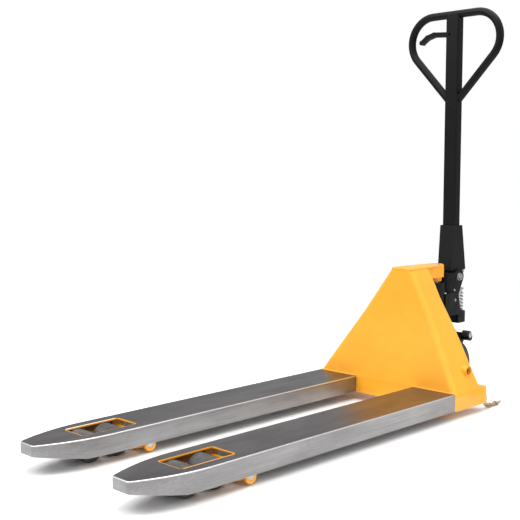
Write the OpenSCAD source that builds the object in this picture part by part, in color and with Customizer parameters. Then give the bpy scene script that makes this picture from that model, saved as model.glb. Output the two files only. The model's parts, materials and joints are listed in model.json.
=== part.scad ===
// Hand pallet truck: welded fork frame, hydraulic pump with steering wheels, pull handle.
// Every piece is drawn about the truck's own middle plane (X = 0), with Y = 0 at the root of
// the forks, the fork tips towards -Y and the floor at Z = 0. placed() then centres the length.

/* [Forks] */
// Length of each fork, from the front plate to the tip
fork_l = 1150; // [950:10:1400]
// Width of each fork
fork_w = 150; // [146:1:180]
// Width over both forks
across_w = 520; // [500:5:690]
// Height of the fork tops with the truck lowered
fork_top = 76; // [75:1:92]
// Depth of the fork side walls
fork_side = 50; // [44:1:54]
// Thickness of the fork sheet
fork_sheet = 4; // [3:0.5:5]
// Width of the fork at its very tip
nose_w = 60; // [40:1:90]
// Length over which the tip narrows
nose_l = 200; // [150:5:240]
// Depth of the side walls at the very tip
nose_depth = 28; // [20:1:40]
// Length of the sloping underside of the tip
nose_rise_l = 130; // [80:5:150]
// Length of the wheel opening in each fork top
window_l = 168; // [162:1:190]
// Width of the wheel opening in each fork top
window_w = 84; // [72:1:90]

/* [Load rollers] */
// Radius of each load roller
roller_r = 37; // [34:0.5:37]
// Width of each load roller
roller_w = 66; // [50:1:68]
// Distance between the two rollers of a pair
roller_gap = 82; // [78:1:90]
// Distance from the fork tip to the middle of a roller pair
tip_to_bogie = 207; // [200:1:240]
// Horizontal length of the roller bracket
bracket_l = 115; // [108:1:130]
// Height of the bracket pivot with the truck lowered
bracket_z = 22; // [20:1:24]
// Radius of each roller axle
roller_axle_r = 8; // [6:0.5:10]
// Radius of each bracket pin
bracket_pin_r = 9; // [7:0.5:10]

/* [Lift] */
// Height that the forks rise
lift_h = 110; // [80:1:112]
// Distance of the rocker shaft behind the fork root
rocker_y = 102; // [95:1:105]
// Height of the rocker shaft
rocker_z = 127; // [124:1:132]
// Radius of the rocker shaft
rocker_shaft_r = 12; // [10:0.5:14]
// Height of the trunnions that the rocker pushes on
trunnion_z = 203; // [203:0.5:205]
// Radius of each trunnion
trunnion_r = 7; // [6:0.5:8]
// Radius of each push rod
rod_r = 8; // [6:0.5:9]
// Height of the push rods inside the forks
rod_z = 56; // [55:0.5:57]
// Length of the push rod lug on each roller bracket
lug_l = 34; // [32:0.5:35]

/* [Frame] */
// Thickness of the frame plates
plate_t = 5; // [4:0.5:7]
// Height of the top of the folded frame
shell_top = 416; // [410:1:425]
// Width of the folded frame at its top
shell_top_w = 86; // [80:1:100]
// Height of the lower edge of the frame
shell_low = 24; // [22:1:28]
// Distance from the fork root to the rear of the side walls
base_l = 167; // [160:1:180]
// Thickness of the top plate of the head
head_t = 6; // [4:1:10]

/* [Pump and steering] */
// Distance of the steering axis behind the fork root
steer_y = 265; // [262:1:272]
// Radius of each steering wheel
wheel_r = 90; // [85:1:90]
// Width of each steering wheel
wheel_w = 55; // [45:1:60]
// Space between the two steering wheels
wheel_gap = 56; // [54:1:60]
// Radius of the steering axle
steer_axle_r = 12; // [10:0.5:14]
// Radius of the lift ram
ram_r = 16; // [14:0.5:18]
// Outer radius of the pump cylinder
cylinder_r = 32; // [30:0.5:34]
// Radius of the pump plunger
plunger_r = 9; // [8:0.5:10]
// Outer radius of the plunger spring
spring_r = 25; // [23:0.5:26]
// Turns of the plunger spring
spring_turns = 6; // [5:1:7]

/* [Handle] */
// Height of the top of the handle
handle_top = 1241; // [1180:1:1300]
// Width over the hand loop
loop_w = 360; // [320:2:400]
// Radius of the hand loop's tube
loop_r = 12.5; // [11:0.5:14]
// Bend radius of the loop's corners, at the middle of its tube
loop_bend = 82.5; // [70:0.5:95]
// Height where the loop meets the handle tube
loop_low = 972; // [930:1:985]
// Width of the handle tube, across the truck
tube_w = 48; // [36:1:52]
// Depth of the handle tube, along the truck
tube_d = 32; // [28:1:40]
// Distance of the handle pivot behind the fork root
pivot_y = 352; // [350:1:356]
// Height of the handle pivot
pivot_z = 376; // [374:1:380]
// Radius of the handle pivot bolt
pivot_r = 10; // [8:0.5:11]
// Furthest tilt of the handle, in degrees
handle_tilt = 60; // [45:1:62]

/* [Hidden] */
$fn = 48;

run_gap = 0.05;    // radial clearance of a shaft that turns or slides
side_gap = 1;      // space between faces that pass each other
fork_x = (across_w - fork_w) / 2;
fork_low = fork_top - fork_side;
fork_in = fork_top - fork_sheet;
inner_half = fork_w / 2 - fork_sheet;
nose_steps = 14;
window_shift = 11;    // the opening sits a little behind the middle of the rollers

// Load roller running gear
bogie_y = -fork_l + tip_to_bogie;
bracket_y = bogie_y + bracket_l;
bracket_arm = norm([bracket_l, roller_r - bracket_z]);
bracket_turn = asin((roller_r - bracket_z) / bracket_arm)
    + asin((lift_h - roller_r + bracket_z) / bracket_arm);
lug_back = bracket_turn / 2;
front_pin = [bracket_y + lug_l * sin(lug_back), bracket_z + lug_l * cos(lug_back)];
bogie_t = 5;
bogie_in = roller_w / 2 + 2.5;
bogie_pin_r = 7;
bracket_in = bogie_in + bogie_t + 1.5;
bracket_t = 8;
hanger_t = 9;
hub_r = bracket_pin_r + 4;
rod_pin_r = 6;
lug_in = 7;
lug_t = 8;

// Rocker: the trunnions stay in line with the steering axis, so its arms are slotted
arm_reach = steer_y - rocker_y;
arm_rest = atan((trunnion_z - rocker_z) / arm_reach);
arm_end = atan((trunnion_z - rocker_z - lift_h) / arm_reach);
rocker_turn = arm_rest - arm_end;
rocker_lug = lug_l * sin(bracket_turn / 2) / sin(rocker_turn / 2);
rear_pin = [rocker_y + rocker_lug * sin(rocker_turn / 2), rocker_z - rocker_lug * cos(rocker_turn / 2)];
rear_pin_r = 7;
rod_rise = lug_l * (1 - cos(lug_back)) + rocker_lug * (1 - cos(rocker_turn / 2));
slot_offset = 1.3;
slot_r = trunnion_r + 1.75;
slot_wall = 5;
arm_in = 58;
arm_t = 12;
rocker_tube_r = rocker_shaft_r + 7;
rocker_half = fork_x + lug_in + lug_t;

// Frame
wall_slope = (across_w - shell_top_w) / 2 / (shell_top - fork_top);
wall_flat = plate_t * norm([1, wall_slope]);
shell_skin = plate_t * 1.04;    // front plate measured level, as most of it leans
tube_half = min(
    rocker_half,
    across_w / 2 - wall_slope * (rocker_z + rocker_tube_r - fork_top) - wall_flat - side_gap
);
boss_half_in = rocker_half + 3;
boss_out = across_w / 2 - wall_slope * (rocker_z - fork_top) + 12;
boss_r = rocker_shaft_r + 5;
shaft_recess = 12;
head_low = shell_top - 36;
head_r = ram_r + 12;

// Pump
foot_top = wheel_r * 2 + 7;
neck_half = wheel_gap / 2 - 4;
ring_low = foot_top + 3.3;
ring_top = trunnion_z + (trunnion_z - ring_low) - 2;
ring_r = 50;
block_low = 220;
block_top = 256;
bridge_low = 250;
cylinder_top = 362;
ram_low = 222;
cheek_in = tube_w / 2 + 4;
cheek_t = 8;
cheek_r = 25;
roller_arm = 40;
roller_rest = 25;
press_r = 12;
plunger_y = pivot_y + roller_arm * cos(roller_rest);
plunger_top = pivot_z + roller_arm * sin(roller_rest) - press_r - 1;
plunger_stroke = roller_arm * (sin(roller_rest) + sin(handle_tilt - roller_rest)) + 0.5;
bore_low = block_low + 3;
plunger_low = bore_low + plunger_stroke + 2;
cap_z = 329;
cap_t = 5;
barrel_top = cap_z - plunger_stroke - 4;
block_r = spring_r + 6;
nose_y = pivot_y - 21;
nose_foot = 325;
nose_round = cheek_in + cheek_t - 0.5;
nose_top = pivot_z + 14;

// Foot pedal
pedal_pivot = [318, 128];
pedal_end = [410, 168];
pedal_bar_r = 12.5;
pedal_half = 46;
rear_reach = pedal_end[0] + pedal_bar_r;
mid_y = (rear_reach - fork_l) / 2;

// Handle
tube_t = 3;
socket_low = pivot_z + 21;
socket_top = 545;
socket_half = tube_w / 2 + 3;
lever_pivot = [-10, 1165];
lever_r = 9.5;
lever_pin_r = 4;
loop_mid = handle_top - loop_r;
bend_x = loop_w / 2 - loop_r - loop_bend;
bend_z = loop_mid - loop_bend;
leg_x = 35;
leg_lean = atan((bend_z - loop_low) / (bend_x - leg_x))
    - asin(loop_bend / norm([bend_x - leg_x, bend_z - loop_low]));

// Chain
chain_wire = 2.5;
chain_inner = 17;
chain_x = across_w / 2 - 12;

module placed() { translate([0, -mid_y, 0]) children(); }

// An outline in the YZ plane, drawn solid from x0 to x1
module across(x0, x1) {
    translate([x0, 0, 0]) rotate([90, 0, 90]) linear_extrude(x1 - x0) children();
}

// The same outline on both sides of the middle x, between two distances from it
module across_pair(x, near, far) {
    translate([x, 0, 0]) {
        across(near, far) children();
        across(-far, -near) children();
    }
}

// An outline in the XZ plane, drawn solid from y0 to y1
module along(y0, y1) {
    translate([0, y1, 0]) rotate([90, 0, 0]) linear_extrude(y1 - y0) children();
}

module bar_x(r, x0, x1, p) {
    translate([x0, p[0], p[1]]) rotate([0, 90, 0]) cylinder(r = r, h = x1 - x0);
}

module disc(r, p) { translate(p) circle(r); }

module strip(a, b, r) {
    d = b - a;
    translate(a) rotate(atan2(d[1], d[0])) translate([0, -r]) square([norm(d), 2 * r]);
}

// A flat link whose ends swell very slightly past its waist
waist = 0.98;

module link(a, b, r) {
    disc(r, a);
    disc(r, b);
    strip(a, b, r * waist);
}

module round_box(w, l, r) {
    square([w - 2 * r, l], center = true);
    square([w, l - 2 * r], center = true);
    for (x = [-1, 1], y = [-1, 1]) disc(r, [x * (w / 2 - r), y * (l / 2 - r)]);
}

// ---- Forks ----
function nose_half(d) = fork_w / 2 - (fork_w - nose_w) / 2 * pow(1 - min(d, nose_l) / nose_l, 2);

function fork_edge(inset, side) = [
    for (i = [0:nose_steps])
        let (d = inset + (nose_l - inset) * i / nose_steps)
            [side * (nose_half(d) - inset), d - fork_l]
];

module fork_plan(inset, root) {
    near = fork_edge(inset, 1);
    far = fork_edge(inset, -1);
    polygon(concat(
        near,
        [[fork_w / 2 - inset, root], [inset - fork_w / 2, root]],
        [for (i = [nose_steps:-1:0]) far[i]]
    ));
}

module fork(side) {
    rise = fork_side - nose_depth;
    color("lightgray") translate([side * fork_x, 0, 0]) difference() {
        translate([0, 0, fork_low]) linear_extrude(fork_side) fork_plan(0, 0);
        translate([0, 0, fork_low - 1]) linear_extrude(fork_side + 1 - fork_sheet)
            fork_plan(fork_sheet, 1);
        translate([0, bogie_y + window_shift, fork_top - 2 * fork_sheet]) linear_extrude(3 * fork_sheet)
            round_box(window_w, window_l, 8);
        across(-fork_w, fork_w) polygon([
            [-fork_l - 1, fork_low - 1], [nose_rise_l - fork_l, fork_low - 1],
            [nose_rise_l - fork_l, fork_low], [-fork_l, fork_low + rise], [-fork_l - 1, fork_low + rise]
        ]);
    }
}

module fork_left() { fork(-1); }
module fork_right() { fork(1); }

// Ears under each fork that carry its roller bracket
module bracket_hangers() {
    color("orange") for (side = [-1, 1])
        across_pair(side * fork_x, inner_half - hanger_t, inner_half) difference() {
            union() {
                disc(bracket_pin_r + 8, [bracket_y, bracket_z]);
                translate([bracket_y - bracket_pin_r - 8, bracket_z])
                    square([2 * bracket_pin_r + 16, fork_in - bracket_z]);
            }
            disc(bracket_pin_r, [bracket_y, bracket_z]);
        }
}

module bracket_pins() {
    color("silver") for (side = [-1, 1])
        bar_x(bracket_pin_r, side * fork_x - inner_half, side * fork_x + inner_half, [bracket_y, bracket_z]);
}

// ---- Frame ----
module shell_front(inset, flat_inset, foot) {
    low = across_w / 2 - inset;
    top = shell_top_w / 2 - flat_inset;
    polygon([
        [-low, foot], [low, foot], [low, fork_top], [top, shell_top], [-top, shell_top], [-low, fork_top]
    ]);
}

// Front face of the folded frame: upright foot, crease, long lean, steeper neck
shell_face = [[0, shell_low], [0, fork_top], [8, 111], [58, 281], [80, shell_top]];
shell_rear = [
    [162, shell_top], [160, 371], [153, 333], [151, 260], [145, 194], [136, 139], [129, fork_top]
];

module frame_shell() {
    color("orange") difference() {
        intersection() {
            along(-1, base_l) shell_front(0, 0, shell_low);
            across(-across_w, across_w)
                polygon(concat(shell_face, shell_rear, [[base_l, fork_top], [base_l, shell_low]]));
        }
        intersection() {
            along(0, base_l + 1) shell_front(plate_t, wall_flat, shell_low - 2);
            across(-across_w, across_w) polygon(concat(
                [[shell_skin, shell_low - 2]],
                [for (p = shell_face) [p[0] + shell_skin, p[1]]],
                [[base_l + 1, shell_top], [base_l + 1, shell_low - 2]]
            ));
        }
        for (side = [-1, 1]) {
            translate([side * fork_x - inner_half, -1, shell_low - 1])
                cube([2 * inner_half, plate_t + 2, fork_in - shell_low + 1]);
            bar_x(boss_r, side > 0 ? 0 : -across_w, side > 0 ? across_w : 0, [rocker_y, rocker_z]);
        }
    }
}

module pivot_bosses() {
    color("orange") across_pair(0, boss_half_in, boss_out) difference() {
        disc(boss_r, [rocker_y, rocker_z]);
        disc(rocker_shaft_r + run_gap, [rocker_y, rocker_z]);
    }
}

// Ledge and rear wall that close each rear corner of the base
module base_ends() {
    width = 40;
    color("orange") across_pair(0, across_w / 2 - plate_t - width, across_w / 2 - plate_t) polygon([
        [shell_rear[6][0], fork_top - plate_t], [base_l - plate_t, fork_top - plate_t],
        [base_l - plate_t, shell_low], [base_l, shell_low], [base_l, fork_top],
        [shell_rear[6][0], fork_top]
    ]);
}

module cross_member() {
    half = across_w / 2 - plate_t;
    front = shell_skin;
    color("orange") across(-half, half) polygon([
        [front, shell_low], [50, shell_low], [50, shell_low + 14], [45, shell_low + 14],
        [45, shell_low + plate_t], [front, shell_low + plate_t]
    ]);
}

// Head that rests on the ram
module head_bracket() {
    half = shell_top_w / 2;
    front = shell_face[4][0];
    color("orange") difference() {
        union() {
            translate([0, 0, shell_top]) linear_extrude(head_t) {
                polygon([[-half, front], [half, front], [half - 4, 162], [head_r, steer_y],
                    [-head_r, steer_y], [4 - half, 162]]);
                disc(head_r, [0, steer_y]);
            }
            translate([0, 0, head_low]) linear_extrude(shell_top - head_low) {
                polygon([[-32, front + 10], [32, front + 10], [head_r, steer_y], [-head_r, steer_y]]);
                disc(head_r, [0, steer_y]);
            }
            translate([0, steer_y, head_low - 14]) cylinder(r = ram_r + 5, h = 15);
        }
        translate([0, steer_y, 0]) cylinder(r = ram_r, h = shell_top * 2);
    }
}

module lift_ram() {
    color("silver") translate([0, steer_y, ram_low]) cylinder(r = ram_r, h = shell_top + head_t - ram_low);
}

// ---- Drag chain ----
module chain_link() {
    bend = chain_inner / 2 - 3.5;
    for (s = [-1, 1]) {
        translate([s * (3.5 + chain_wire), 0, 0]) rotate([90, 0, 0])
            cylinder(r = chain_wire, h = 2 * bend, center = true);
        translate([0, s * bend, 0]) rotate([0, 0, s > 0 ? 0 : 180])
            rotate_extrude(angle = 180, $fn = 24)
                translate([3.5 + chain_wire, 0]) circle(chain_wire, $fn = 16);
    }
}

// Links hang from the eye, lean over and then lie along the floor behind the base
chain_links = 7;
chain_step = chain_inner - 0.8;
chain_floor_z = 6.8;

function chain_lean(i) = min(90, 30 * i);
function chain_twist(i) = i < 3 ? 75 * i : 225 + 90 * (i - 3);
function chain_joint(i) = i == 0 ? [base_l + 9, chain_floor_z + chain_step * (1 + cos(30) + cos(60))]
    : chain_joint(i - 1) + chain_step * [sin(chain_lean(i - 1)), -cos(chain_lean(i - 1))];

module drag_chain() {
    color("tan") for (i = [0:chain_links - 1]) {
        middle = (chain_joint(i) + chain_joint(i + 1)) / 2;
        translate([chain_x, middle[0], middle[1]]) rotate([chain_lean(i) - 90, 0, 0])
            rotate([0, chain_twist(i), 0]) chain_link();
    }
}

module chain_eye() {
    hole = chain_joint(0) + [0, (chain_inner - chain_step) / 2 + chain_wire + 0.6];
    color("orange") difference() {
        across(chain_x - 2, chain_x + 2) {
            disc(7, hole);
            translate([base_l, hole[1] - 7]) square([hole[0] - base_l, 14]);
        }
        bar_x(3.6, chain_x - 3, chain_x + 3, hole);
    }
}

// ---- Rocker ----
module rocker_arm_outline() {
    mid = [rocker_y + 26, trunnion_z - 8];
    up = [-sin(arm_rest), cos(arm_rest)] * slot_offset;
    out = [cos(arm_rest), sin(arm_rest)];
    far = norm([arm_reach, trunnion_z - rocker_z]) + 0.8;
    centre = [rocker_y, rocker_z];
    slot_a = centre + up + out * (arm_reach - 0.8);
    slot_b = centre + up + out * far;
    difference() {
        union() {
            link(centre, mid, 13);
            link(mid, slot_a, 12);
            link(slot_a, slot_b, slot_r + slot_wall);
        }
        link(slot_a, slot_b, slot_r);
        disc(rocker_shaft_r, centre);
    }
}

module rocker_beam() {
    color("orange") {
        across(-tube_half, tube_half) difference() {
            disc(rocker_tube_r, [rocker_y, rocker_z]);
            disc(rocker_shaft_r, [rocker_y, rocker_z]);
        }
        across_pair(0, arm_in, arm_in + arm_t) rocker_arm_outline();
        for (side = [-1, 1])
            across_pair(side * fork_x, lug_in, lug_in + lug_t) difference() {
                link([rocker_y, rocker_z], rear_pin, 12);
                disc(rocker_shaft_r, [rocker_y, rocker_z]);
                disc(rear_pin_r, rear_pin);
            }
    }
}

module rocker_shaft() {
    end = boss_out - shaft_recess;
    color("silver") bar_x(rocker_shaft_r, -end, end, [rocker_y, rocker_z]);
}

module rear_rod_pins() {
    half = lug_in + lug_t + 2;
    color("silver") for (side = [-1, 1])
        bar_x(rear_pin_r, side * fork_x - half, side * fork_x + half, rear_pin);
}

// ---- Push rods ----
rod_front = front_pin[0] + 32;
rod_rear = 36;

module push_rod(side) {
    color("dimgray") translate([side * fork_x, rod_front, rod_z]) rotate([-90, 0, 0])
        cylinder(r = rod_r, h = rod_rear - rod_front);
}

module rod_ends(side) {
    tongue = lug_in - side_gap;
    slot_top = [front_pin[0], front_pin[1] + rod_rise];
    color("gray") translate([side * fork_x, 0, 0]) difference() {
        union() {
            across(-tongue, tongue) {
                link(front_pin, slot_top, rod_pin_r + 4.5);
                translate([front_pin[0], rod_z - 7]) square([rod_front - front_pin[0] - 5, 14]);
            }
            translate([0, rod_front - 6, rod_z]) rotate([-90, 0, 0]) cylinder(r = rod_r + 4, h = 34);
            across(-tongue, tongue) link([rod_rear - 2, rod_z + 1], rear_pin, 11);
            translate([0, rod_rear - 34, rod_z]) rotate([-90, 0, 0]) cylinder(r = rod_r + 4, h = 34);
        }
        translate([0, rod_front, rod_z]) rotate([-90, 0, 0]) cylinder(r = rod_r, h = rod_rear - rod_front);
        across(-tongue - 1, tongue + 1) {
            link(front_pin, slot_top, rod_pin_r + side_gap);
            disc(rear_pin_r + run_gap, rear_pin);
        }
    }
}

module lock_nuts(side) {
    nut_l = 8;
    color("silver") for (y = [rod_front + 28, rod_rear - 34 - nut_l])
        translate([side * fork_x, y, rod_z]) rotate([-90, 0, 0]) difference() {
            cylinder(r = rod_r + 5, h = nut_l, $fn = 6);
            translate([0, 0, -1]) cylinder(r = rod_r, h = nut_l + 2);
        }
}

// ---- Roller brackets and bogies ----
module roller_bracket(side) {
    pivot = [bracket_y, bracket_z];
    bogie = [bogie_y, roller_r];
    hub_half = inner_half - hanger_t - 0.5;
    color("orange") translate([side * fork_x, 0, 0]) difference() {
        union() {
            bar_x(hub_r, -hub_half, hub_half, pivot);
            across_pair(0, bracket_in, bracket_in + bracket_t) link(pivot, bogie, 12);
            across(-bracket_in - 1, bracket_in + 1)
                translate([bracket_y - 25, bracket_z + 4]) square([8, 32]);
            across_pair(0, lug_in, lug_in + lug_t) link(pivot, front_pin, 9.5);
        }
        bar_x(bracket_pin_r + run_gap, -fork_w, fork_w, pivot);
        bar_x(rod_pin_r, -fork_w, fork_w, front_pin);
        bar_x(bogie_pin_r, -fork_w, fork_w, bogie);
    }
}

module front_rod_pin(side) {
    half = lug_in + lug_t + 2;
    color("silver") bar_x(rod_pin_r, side * fork_x - half, side * fork_x + half, front_pin);
}

module bogie_pins(side) {
    color("silver") across_pair(side * fork_x, bogie_in - 1, bracket_in + bracket_t)
        disc(bogie_pin_r, [bogie_y, roller_r]);
}

module bogie_plates(side) {
    front = [bogie_y - roller_gap / 2, roller_r];
    rear = [bogie_y + roller_gap / 2, roller_r];
    color("orange") across_pair(side * fork_x, bogie_in, bogie_in + bogie_t) difference() {
        link(front, rear, 15);
        disc(roller_axle_r, front);
        disc(roller_axle_r, rear);
        disc(bogie_pin_r + run_gap, [bogie_y, roller_r]);
    }
}

module roller_axles(side) {
    half = bogie_in + bogie_t;
    color("silver") for (s = [-1, 1])
        bar_x(roller_axle_r, side * fork_x - half, side * fork_x + half,
            [bogie_y + s * roller_gap / 2, roller_r]);
}

module load_roller(side, place) {
    axle = [bogie_y + place * roller_gap / 2, roller_r];
    half = roller_w / 2;
    edge = 3;
    color([0.2, 0.19, 0.19]) translate([side * fork_x, axle[0], axle[1]]) rotate([0, 90, 0])
        rotate_extrude() polygon([
            [roller_axle_r + run_gap, -half], [roller_r - edge, -half], [roller_r, edge - half],
            [roller_r, half - edge], [roller_r - edge, half], [roller_axle_r + run_gap, half]
        ]);
}

// ---- Cradle: the ring that the pump turns in ----
module trunnion_ring() {
    color("dimgray") difference() {
        translate([0, steer_y, ring_low]) cylinder(r = ring_r, h = ring_top - ring_low);
        translate([0, steer_y, 0]) cylinder(r = cylinder_r + run_gap, h = trunnion_z * 2);
        for (s = [-1, 1])
            bar_x(trunnion_r, s > 0 ? ring_r - 10 : -ring_r - 5, s > 0 ? ring_r + 5 : 10 - ring_r,
                [steer_y, trunnion_z]);
    }
}

module trunnion_pins() {
    color("silver") across_pair(0, ring_r - 10, arm_in + arm_t + 4) disc(trunnion_r, [steer_y, trunnion_z]);
}

// ---- Pump ----
module pump_foot() {
    color([0.13, 0.12, 0.13]) difference() {
        union() {
            translate([0, steer_y, foot_top - 5]) cylinder(r = 46, h = 5);
            across(-neck_half, neck_half) polygon([
                [steer_y - 32, foot_top - 2], [steer_y - 24, wheel_r - 20], [steer_y + 24, wheel_r - 20],
                [pedal_pivot[0] - 16, wheel_r + 14], [pedal_pivot[0] - 16, foot_top - 2]
            ]);
            across_pair(0, neck_half - 7, neck_half)
                link([pedal_pivot[0] - 24, pedal_pivot[1]], pedal_pivot, 12);
        }
        bar_x(steer_axle_r, -neck_half - 1, neck_half + 1, [steer_y, wheel_r]);
        bar_x(6, -neck_half - 1, neck_half + 1, pedal_pivot);
    }
}

module cheek_outline() {
    difference() {
        union() {
                disc(cheek_r, [pivot_y, pivot_z]);
            polygon([
                [steer_y + 10, bridge_low], [plunger_y - spring_r - 1, bridge_low],
                [plunger_y - spring_r - 1, bridge_low + 12], [pivot_y - 2, 318],
                [pivot_y + 19, pivot_z - 16], [pivot_y - 10, pivot_z + 20], [nose_y - 5, nose_top],
                [nose_y - 5, nose_foot], [steer_y + 10, nose_foot]
            ]);
        }
        disc(pivot_r, [pivot_y, pivot_z]);
    }
}

module pump_casting() {
    color([0.13, 0.12, 0.13]) difference() {
        union() {
            translate([0, steer_y, foot_top]) cylinder(r = cylinder_r, h = cylinder_top - foot_top);
            across_pair(0, cheek_in, cheek_in + cheek_t) cheek_outline();
            translate([0, nose_y, nose_foot]) linear_extrude(nose_top - nose_foot) intersection() {
                circle(nose_round);
                translate([-2 * nose_round, -2 * nose_round]) square([4 * nose_round, 2 * nose_round]);
            }
            translate([0, 0, block_low]) linear_extrude(block_top - block_low) {
                translate([-block_r, plunger_y - block_r]) square([2 * block_r, block_r]);
                disc(block_r, [0, plunger_y]);
            }
            translate([-cheek_in - 1, steer_y + 10, bridge_low])
                cube([2 * cheek_in + 2, plunger_y - spring_r - 1 - steer_y - 10, 12]);
        }
        translate([0, steer_y, ram_low - 5]) cylinder(r = ram_r + run_gap, h = 400);
        translate([0, plunger_y, bore_low]) cylinder(r = plunger_r + 4, h = 100);
        for (x = [-cheek_in - cheek_t, cheek_in + cheek_t])
            bar_x(4, x - 4, x + 4, [322, 334]);
        bar_x(5, -cheek_in - cheek_t - 1, cheek_in + cheek_t + 1, [332, 300]);
    }
}

module pump_barrel() {
    color("silver") translate([0, plunger_y, bore_low]) difference() {
        cylinder(r = plunger_r + 4, h = barrel_top - bore_low);
        translate([0, 0, -1]) cylinder(r = plunger_r + run_gap, h = barrel_top);
    }
}

module thrust_washer() {
    color("silver") translate([0, steer_y, foot_top]) difference() {
        cylinder(r = 44, h = 3);
        translate([0, 0, -1]) cylinder(r = cylinder_r, h = 5);
    }
}

module retaining_ring() {
    color("gray") translate([0, steer_y, ring_top + 0.3]) difference() {
        cylinder(r = cylinder_r + 8, h = 4);
        translate([0, 0, -1]) cylinder(r = cylinder_r, h = 6);
    }
}

// Release valve stem, its lever pin and the two filler screws
module valve_parts() {
    color("silver") {
        translate([0, 322, bridge_low + 12]) cylinder(r = 5, h = 12);
        bar_x(5, -cheek_in - cheek_t, cheek_in + cheek_t, [332, 300]);
        across_pair(0, cheek_in + cheek_t - 4, cheek_in + cheek_t + 3) disc(4, [322, 334]);
    }
}

module release_lever() {
    color("gray") across(-4, 4) difference() {
        union() {
            link([332, 300], [350, 322], 8);
            link([332, 300], [322, 283], 7.5);
        }
        disc(5 + run_gap, [332, 300]);
    }
}

module pivot_bolt() {
    out = cheek_in + cheek_t;
    color("silver") {
        bar_x(pivot_r, -out, out, [pivot_y, pivot_z]);
        bar_x(pivot_r + 4, out, out + 2, [pivot_y, pivot_z]);
        bar_x(pivot_r + 1, out + 2, out + 8, [pivot_y, pivot_z]);
        bar_x(pivot_r + 4, -out - 5, -out, [pivot_y, pivot_z]);
    }
}

module plunger() {
    color("silver") translate([0, plunger_y, 0]) {
        translate([0, 0, plunger_low]) cylinder(r = plunger_r, h = plunger_top - plunger_low);
        translate([0, 0, cap_z]) cylinder(r = spring_r, h = cap_t);
    }
}

// Coil swept along a helix from the block up to the cap
spring_wire = 3;
coil_r = spring_r - spring_wire;
coil_low = block_top + spring_wire;
coil_high = cap_z - spring_wire;
coil_rings = spring_turns * 12;
coil_sides = 8;

function coil_point(i, j) =
    let (a = 360 * spring_turns * i / coil_rings, b = 360 * j / coil_sides,
        r = coil_r + spring_wire * cos(b))
    [r * cos(a), r * sin(a), coil_low + (coil_high - coil_low) * i / coil_rings + spring_wire * sin(b)];

module plunger_spring() {
    n = coil_sides;
    points = [for (i = [0:coil_rings], j = [0:n - 1]) coil_point(i, j)];
    walls = [for (i = [0:coil_rings - 1], j = [0:n - 1])
        [i * n + j, i * n + (j + 1) % n, (i + 1) * n + (j + 1) % n, (i + 1) * n + j]];
    color("silver") translate([0, plunger_y, 0]) polyhedron(
        points = points,
        faces = concat(
            [[for (j = [n - 1:-1:0]) j]],
            walls,
            [[for (j = [0:n - 1]) coil_rings * n + j]]
        )
    );
}

module foot_pedal() {
    color([0.13, 0.12, 0.13]) {
        across(7.5 - neck_half, neck_half - 7.5) difference() {
            union() {
                link(pedal_pivot, pedal_end, 11);
                polygon([
                    pedal_pivot + [2, 9], pedal_pivot + [32, 56], pedal_pivot + [44, 60],
                    pedal_end + [-6, 12], pedal_end + [11, -4], pedal_end + [-2, -31],
                    pedal_end + [-9, -33], pedal_pivot + [4, -9]
                ]);
                disc(12, pedal_pivot);
            }
            disc(6 + run_gap, pedal_pivot);
        }
        bar_x(pedal_bar_r, -pedal_half, pedal_half, pedal_end);
    }
}

module steer_axle() {
    color("silver") {
        bar_x(steer_axle_r, -wheel_gap / 2 - wheel_w - 1, wheel_gap / 2 + wheel_w + 1, [steer_y, wheel_r]);
        bar_x(6, -neck_half, neck_half, pedal_pivot);
    }
}

module axle_caps() {
    out = wheel_gap / 2 + wheel_w + 1;
    color("gray") across_pair(0, out, out + 3) disc(steer_axle_r + 6, [steer_y, wheel_r]);
}

tyre_in = wheel_r - 20;

module wheel_hub(side) {
    half = wheel_w / 2;
    color("gray") translate([side * (wheel_gap + wheel_w) / 2, steer_y, wheel_r]) rotate([0, 90, 0])
        rotate_extrude() polygon([
            [steer_axle_r + run_gap, -half], [28, -half], [34, 10 - half], [tyre_in - 10, 10 - half],
            [tyre_in - 6, 1 - half], [tyre_in, 1 - half], [tyre_in, half - 1], [tyre_in - 6, half - 1],
            [tyre_in - 10, half - 10], [34, half - 10], [28, half], [steer_axle_r + run_gap, half]
        ]);
}

module wheel_tyre(side) {
    half = wheel_w / 2;
    edge = 5;
    color([0.2, 0.19, 0.19]) translate([side * (wheel_gap + wheel_w) / 2, steer_y, wheel_r])
        rotate([0, 90, 0]) rotate_extrude() polygon([
            [tyre_in, -half], [wheel_r - edge, -half], [wheel_r, edge - half],
            [wheel_r, half - edge], [wheel_r - edge, half], [tyre_in, half]
        ]);
}

// ---- Handle ----
press_at = [pivot_y + roller_arm * cos(roller_rest), pivot_z + roller_arm * sin(roller_rest)];

module handle_socket() {
    hub_half = cheek_in - side_gap;
    color([0.13, 0.12, 0.13]) difference() {
        union() {
            bar_x(20, -hub_half, hub_half, [pivot_y, pivot_z]);
            across(-hub_half + 3, hub_half - 3) translate([pivot_y - 20, pivot_z]) square([40, 30]);
            across(-socket_half, socket_half) polygon([
                [pivot_y - 34, socket_low], [pivot_y + 48, socket_low], [pivot_y + 47, socket_low + 10],
                [pivot_y + tube_d / 2 + 9, socket_top], [pivot_y - tube_d / 2 - 7, socket_top]
            ]);
        }
        bar_x(pivot_r + run_gap, -hub_half - 1, hub_half + 1, [pivot_y, pivot_z]);
        translate([-tube_w / 2, pivot_y - tube_d / 2, socket_top - 70]) cube([tube_w, tube_d, 71]);
        translate([-8, pivot_y - 8, pivot_z + 35]) cube([16, 16, 100]);
        across(-11.5, 11.5) disc(press_r + 2, press_at);
        across(-11.5, 11.5) translate([press_at[0], socket_low - 20])
            square([40, press_at[1] - socket_low + 34]);
        bar_x(5, -socket_half - 1, socket_half + 1, press_at);
    }
}

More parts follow.
